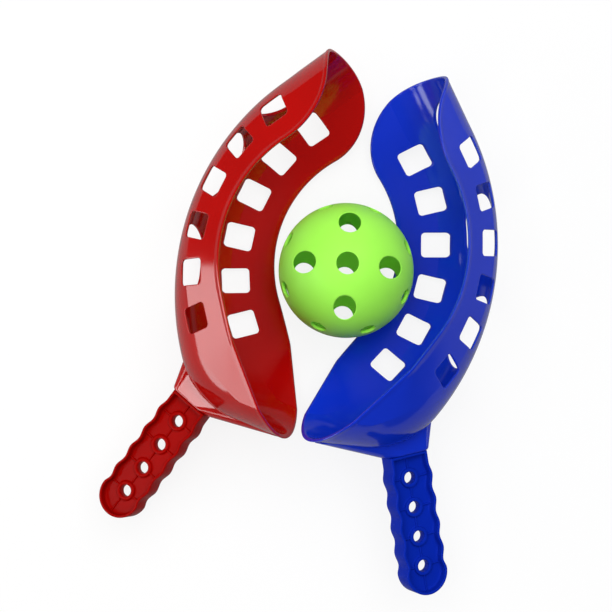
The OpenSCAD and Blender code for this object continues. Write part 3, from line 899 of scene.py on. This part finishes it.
class HalfBall:
    """Upper half of the ball: tiles of latitude and longitude, each with one round hole."""
    TILE_RINGS = 9      # mesh faces from the edge of a hole to the border of its tile
    TILE_FACES = 24     # down the side of a tile
    RING_LET = 0.2      # share of the wall that the locating ring is let into
    RING_FOOT = 0.7     # height of the ring's foot above the seam, as a share of its height below
    POLE = np.array([0.0, 0, 1])

    def __init__(self, size):
        self.size = size
        self.radius = size.diameter / 2
        self.around = np.arange(size.around) / size.around * math.tau
        self.seam_turn = math.pi / 2 - size.seam / self.radius

    def unit(self, lon, colat):
        """Unit vector at a longitude and an angle from the pole."""
        lon, colat = np.broadcast_arrays(lon, colat)
        return np.stack([np.sin(colat) * np.cos(lon), np.sin(colat) * np.sin(lon), np.cos(colat)], -1)

    def tile(self, shell, through, axis, hole_r, border):
        """Both faces of a tile and its hole: rings from the hole's edge to the border, set on the sphere. The
        hole is a circle about the point its axis passes through, raised along the axis to the sphere."""
        size = self.size
        u = np.array([1.0, 0, 0]) if axis is self.POLE else np.cross(self.POLE, axis)
        u = u / np.linalg.norm(u)
        v = np.cross(axis, u)
        away = border * self.radius - through
        bearing = along(np.arctan2(away @ v, away @ u))

        def hole_loop(grow, depth):
            ring = through + (hole_r + grow) * (bearing[:, :1] * u + bearing[:, 1:] * v)
            rise = np.sqrt((self.radius - depth) ** 2 - (ring * ring).sum(-1))
            return ring + rise[:, None] * axis

        for depth in (0.0, size.wall):
            radius = self.radius - depth
            grid = rings(hole_loop(size.soft, depth), border * radius, self.TILE_RINGS)
            shell.patch(grid * (radius / np.linalg.norm(grid, axis=-1, keepdims=True)), True)
        shell.patch(np.stack([hole_loop(*point) for point in through_edge(size.soft, size.wall)]), True)

    def border(self, centre, width, top, low):
        """Loop of unit vectors round a tile, so wide about a longitude, between two angles from the pole."""
        steps = round(self.size.around * width / math.tau)
        lon = centre + (np.arange(steps + 1) / steps - 0.5) * width
        fall = spread(top, low, self.TILE_FACES)
        sides = (lon[:-1], low), (lon[-1], fall[:0:-1]), (lon[:0:-1], top), (lon[0], fall[:-1])
        return np.concatenate([self.unit(*side) for side in sides])

    def holes(self, shell):
        """Tiles of the pole's hole, of the upper ring cut along the ball's axis, and of the lower ring cut to
        its centre."""
        size, none = self.size, np.zeros(3)
        upper, lower = size.upper, size.lower
        middle = (upper + lower) / 2
        self.tile(shell, none, self.POLE, size.hole_d / 2, self.unit(self.around, upper / 2))
        width = math.tau / size.upper_n
        for lon in width * np.arange(size.upper_n):
            through = self.radius * self.unit(lon, upper) * [1, 1, 0]
            self.tile(shell, through, self.POLE, size.hole_d / 2, self.border(lon, width, upper / 2, middle))
        width = math.tau / size.lower_n
        for lon in width * (np.arange(size.lower_n) + 0.5):
            axis = self.unit(lon, lower)
            self.tile(shell, none, axis, size.side_d / 2, self.border(lon, width, middle, self.seam_turn))

    def lathe(self, shell, section):
        """A section of (radius, height) points carried round the ball's axis."""
        flat = section[:, None, :1] * along(self.around)
        height = np.broadcast_to(section[:, None, 1:], flat.shape[:2] + (1,))
        shell.patch(np.concatenate([flat, height], -1), True)

    def seam(self, shell):
        """Flat face of the seam with its soft outer edge."""
        outer = self.radius
        inner = outer - self.size.wall
        rim = np.array([math.sin(self.seam_turn), math.cos(self.seam_turn)])
        edge = [outer, 0] + quarter_round(self.size.seam)[-2::-1] * [-1, 1]
        self.lathe(shell, np.concatenate([[outer * rim], edge, [[inner, 0], inner * rim]]))

    def ring(self, shell):
        """Locating ring: let into the wall above the seam, and inside the other half below it."""
        size = self.size
        inner = self.radius - size.wall
        near, root, far = inner - size.seam_fit, inner + self.RING_LET * size.wall, inner - size.seam_t
        low, foot = -size.seam_h, self.RING_FOOT * size.seam_h
        self.lathe(shell, np.array([[near, low], [near, 0], [root, size.seam], [root, foot], [far, foot],
                                    [far, low], [near, low]]))

    def shell(self, ringed):
        """A half with its holes, its seam and, on one half, the locating ring."""
        made = Shell()
        self.holes(made)
        self.seam(made)
        if ringed:
            self.ring(made)
        return made


def fill(node, inputs):
    """Gives each input of a node its value, or joins it to another node's output."""
    for name, value in inputs.items():
        if isinstance(value, bpy.types.NodeSocket):
            node.id_data.links.new(value, node.inputs[name])
        else:
            node.inputs[name].default_value = value


def add_node(tree, kind, inputs, operation=None):
    """Adds a shader node, fills its inputs and gives its first output."""
    node = tree.nodes.new("ShaderNode" + kind)
    if operation:
        node.operation = operation
    fill(node, inputs)
    return node.outputs[0]


def largest(tree, value, *others):
    """Largest of several outputs."""
    for other in others:
        value = add_node(tree, "Math", {0: value, 1: other}, "MAXIMUM")
    return value


def moulded_plastic(name, paint, roughness, gloss, grain):
    """Moulded plastic: slow colour drift, roughness drift, a slow ripple and a fine grain in the surface."""
    material = bpy.data.materials.new(name)
    material.use_nodes = True
    tree = material.node_tree
    spot = tree.nodes.new("ShaderNodeTexCoord").outputs["Object"]

    def noise(scale, detail):
        return add_node(tree, "TexNoise", {"Vector": spot, "Scale": scale, "Detail": detail})

    tint = tree.nodes.new("ShaderNodeValToRGB")
    for stop, position, shade in zip(tint.color_ramp.elements, (0.3, 0.7), SHADES):
        stop.position = position
        stop.color = [min(1, shade * c) for c in paint] + [1]
    fill(tint, {"Fac": noise(scale=18, detail=3)})
    matt = add_node(tree, "MapRange", {"Value": noise(scale=70, detail=4),
                                       "To Min": (1 - MATT_DRIFT) * roughness,
                                       "To Max": (1 + MATT_DRIFT) * roughness})
    ripple = add_node(tree, "Bump", {"Height": noise(scale=55, detail=1),
                                     "Strength": 0.05, "Distance": 0.001})
    fine = add_node(tree, "Bump", {"Height": noise(scale=1500, detail=2), "Normal": ripple,
                                   "Strength": grain, "Distance": 0.0001})
    fill(tree.nodes["Principled BSDF"], {"Base Color": tint.outputs["Color"], "Roughness": matt,
                                         "Normal": fine, "IOR": PLASTIC_IOR, "Specular IOR Level": gloss})
    return material


def pale_floor(paint, show, mirrored):
    """Pale floor that keeps a soft shadow: seen directly it is mostly plain white, and dimmer in gloss."""
    material = bpy.data.materials.new("pale_floor")
    material.use_nodes = True
    tree = material.node_tree
    shader = tree.nodes["Principled BSDF"]
    fill(shader, {"Base Color": [*paint, 1], "Roughness": 0.9, "Specular IOR Level": 0.0})
    rays = tree.nodes.new("ShaderNodeLightPath").outputs
    level = add_node(tree, "MapRange", {"Value": rays["Is Glossy Ray"], "To Min": 1.0, "To Max": mirrored})
    light = add_node(tree, "Emission", {"Color": WHITE, "Strength": level})
    seen = largest(tree, rays["Is Camera Ray"], rays["Is Glossy Ray"], rays["Is Transmission Ray"])
    share = add_node(tree, "Math", {0: seen, 1: show}, "MULTIPLY")
    mix = add_node(tree, "MixShader", {"Fac": share, 1: shader.outputs["BSDF"], 2: light})
    fill(tree.nodes["Material Output"], {"Surface": mix})
    return material


def studio_world(dim, mirrored):
    """World that is white to the camera, dimmer in gloss and dim to all other rays."""
    world = bpy.data.worlds.new("studio")
    world.use_nodes = True
    tree = world.node_tree
    rays = tree.nodes.new("ShaderNodeLightPath").outputs
    seen = largest(tree, rays["Is Camera Ray"], rays["Is Transmission Ray"])
    plain = add_node(tree, "MapRange", {"Value": seen, "To Min": dim, "To Max": 1.0})
    gloss = add_node(tree, "Math", {0: rays["Is Glossy Ray"], 1: mirrored}, "MULTIPLY")
    fill(tree.nodes["Background"], {"Color": WHITE, "Strength": largest(tree, plain, gloss)})
    return world


def soft_box(name, azimuth, elevation, distance, size, watts, gloss):
    """Area lamp at an azimuth and elevation, aimed at the middle of the set. A lamp for gloss only shows in
    reflections, and any other only lights."""
    data = bpy.data.lights.new(name, "AREA")
    data.shape = "RECTANGLE"
    data.size, data.size_y = size
    data.energy = watts
    lamp = bpy.data.objects.new(name, data)
    a, e = math.radians(azimuth), math.radians(elevation)
    lamp.location = distance * Vector((math.cos(a) * math.cos(e), math.sin(a) * math.cos(e), math.sin(e)))
    lamp.rotation_euler = (Vector(MIDDLE) - lamp.location).to_track_quat("-Z", "Y").to_euler()
    lamp.visible_diffuse, lamp.visible_glossy = not gloss, gloss
    bpy.context.scene.collection.objects.link(lamp)


def set_on(piece, body, node):
    """Lets a piece ride on a body and stand for a CAD node, whose part it hides."""
    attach(piece, body)
    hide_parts(node)


def build_pair(sizes, shell, form, node, shade, **finish):
    """Builds one shell twice, as a piece of the red scoop and of the blue one. Its colour is the scoop's
    colour times shade, a painted shade share that is below 1 for the handles and 1 for the troughs.
    """
    for name in ("red", "blue"):
        # shade paints shade into the colour: the handles are darkened, and the troughs keep their colour with
        # shade 1.
        paint = [shade * c for c in getattr(sizes.finish, name)]
        material = moulded_plastic(f"{name}_{node}_plastic", paint, **finish)
        turn, spot = getattr(sizes.layout, name + "_turn"), getattr(sizes.layout, name + "_spot")
        piece = shell.build(f"{name}_{form}", rotation(turn), spot, material)
        set_on(piece, name + "_scoop", f"{name}_{node}")


class SCOOP_OT_stage(bpy.types.Operator):
    """Adds the pale floor, the soft lamps, the plain world and the camera above the set"""
    bl_idname = "scoop.stage"
    bl_label = "Stage"

    def execute(self, context):
        scene = context.scene
        stage = scene.scoop_set.stage
        scene.view_settings.view_transform = "Standard"
        mesh = bpy.data.meshes.new("floor")
        corners = stage.floor_side / 2 * np.array([(-1, -1, 0), (1, -1, 0), (1, 1, 0), (-1, 1, 0)])
        mesh.from_pydata(corners.tolist(), [], [(0, 1, 2, 3)])
        mesh.materials.append(pale_floor(scene.scoop_set.finish.floor, show=0.85, mirrored=0.27))
        floor = bpy.data.objects.new("floor", mesh)
        scene.collection.objects.link(floor)
        scene.world = studio_world(dim=0.06, mirrored=0.08)
        soft_box("top", azimuth=90, elevation=75, distance=2, size=(2.4, 2.4), watts=55, gloss=False)
        soft_box("left", azimuth=205, elevation=25, distance=1.8, size=(1.4, 1.4), watts=11, gloss=False)
        soft_box("right", azimuth=45, elevation=50, distance=1.8, size=(1.2, 1.2), watts=2, gloss=False)
        soft_box("window", azimuth=199, elevation=8, distance=1.3, size=(1.44, 0.8), watts=17.5, gloss=True)
        soft_box("neck", azimuth=188, elevation=40, distance=1.3, size=(0.3, 0.22), watts=1.9, gloss=True)
        soft_box("wall", azimuth=12, elevation=-2, distance=1.4, size=(1.2, 0.5), watts=2.6, gloss=True)
        camera = bpy.data.cameras.new("camera")
        camera.lens, camera.sensor_width = stage.lens, stage.sensor
        eye = bpy.data.objects.new("camera", camera)
        eye.location = stage.eye
        scene.collection.objects.link(eye)
        scene.camera = eye
        return {"FINISHED"}


class SCOOP_OT_baskets(bpy.types.Operator):
    """Builds the two perforated troughs with their necks"""
    bl_idname = "scoop.baskets"
    bl_label = "Baskets"

    def execute(self, context):
        sizes = context.scene.scoop_set
        trough = Trough(sizes)
        shell = trough.shell()
        Neck(sizes, trough).add(shell)
        build_pair(sizes, shell, "trough", "basket", shade=1, roughness=0.11, gloss=0.5, grain=0.04)
        return {"FINISHED"}


class SCOOP_OT_handles(bpy.types.Operator):
    """Builds the two waved handles with their pockets, holes, ribs and plugs"""
    bl_idname = "scoop.handles"
    bl_label = "Handles"

    def execute(self, context):
        sizes = context.scene.scoop_set
        shell = Grip(sizes.handle).shell(sizes)
        # The handles' colour is darkened by the painted shade share.
        build_pair(sizes, shell, "grip", "handle", sizes.finish.handle_painted_shade,
                   roughness=0.26, gloss=0.03, grain=0.08)
        return {"FINISHED"}


class SCOOP_OT_ball(bpy.types.Operator):
    """Builds the two halves of the perforated ball"""
    bl_idname = "scoop.ball"
    bl_label = "Ball"

    def execute(self, context):
        sizes = context.scene.scoop_set
        places = sizes.layout
        tilt = rotation((places.ball_tilt, 0, 0)) @ rotation((0, 0, places.ball_turn))
        material = moulded_plastic("ball_plastic", sizes.finish.lime, roughness=0.42, gloss=0.3, grain=0.1)
        for name, up in (("upper", 1), ("lower", -1)):
            shell = HalfBall(sizes.ball).shell(ringed=up > 0)
            piece = shell.build("ball_" + name, tilt @ np.diag([1, 1, up]), places.ball_spot, material)
            set_on(piece, "ball", "ball_" + name + "_half")
        return {"FINISHED"}


class SCOOP_PT_set(bpy.types.Panel):
    """Lists the steps that build the set"""
    bl_idname = "SCOOP_PT_set"
    bl_label = "Scoop Toss Set"
    bl_space_type = "VIEW_3D"
    bl_region_type = "UI"
    bl_category = "Scoops"

    def draw(self, context):
        for step in STEPS:
            self.layout.operator(step.bl_idname)


STEPS = (SCOOP_OT_stage, SCOOP_OT_baskets, SCOOP_OT_handles, SCOOP_OT_ball)
CLASSES = (TroughSizes, RimSizes, WindowSizes, HandleSizes, BallSizes, LayoutPlaces, Finishes, StageSizes,
           ScoopSet, *STEPS, SCOOP_PT_set)


def register():
    """Registers the classes and the set's sizes."""
    for made in CLASSES:
        bpy.utils.register_class(made)
    bpy.types.Scene.scoop_set = PointerProperty(type=ScoopSet)


def unregister():
    """Removes what register added."""
    del bpy.types.Scene.scoop_set
    for made in reversed(CLASSES):
        bpy.utils.unregister_class(made)


def main():
    """Builds the set on its frame."""
    register()
    bpy.ops.scoop.stage()
    bpy.ops.scoop.baskets()
    bpy.ops.scoop.handles()
    bpy.ops.scoop.ball()


if __name__ == "__main__":
    main()
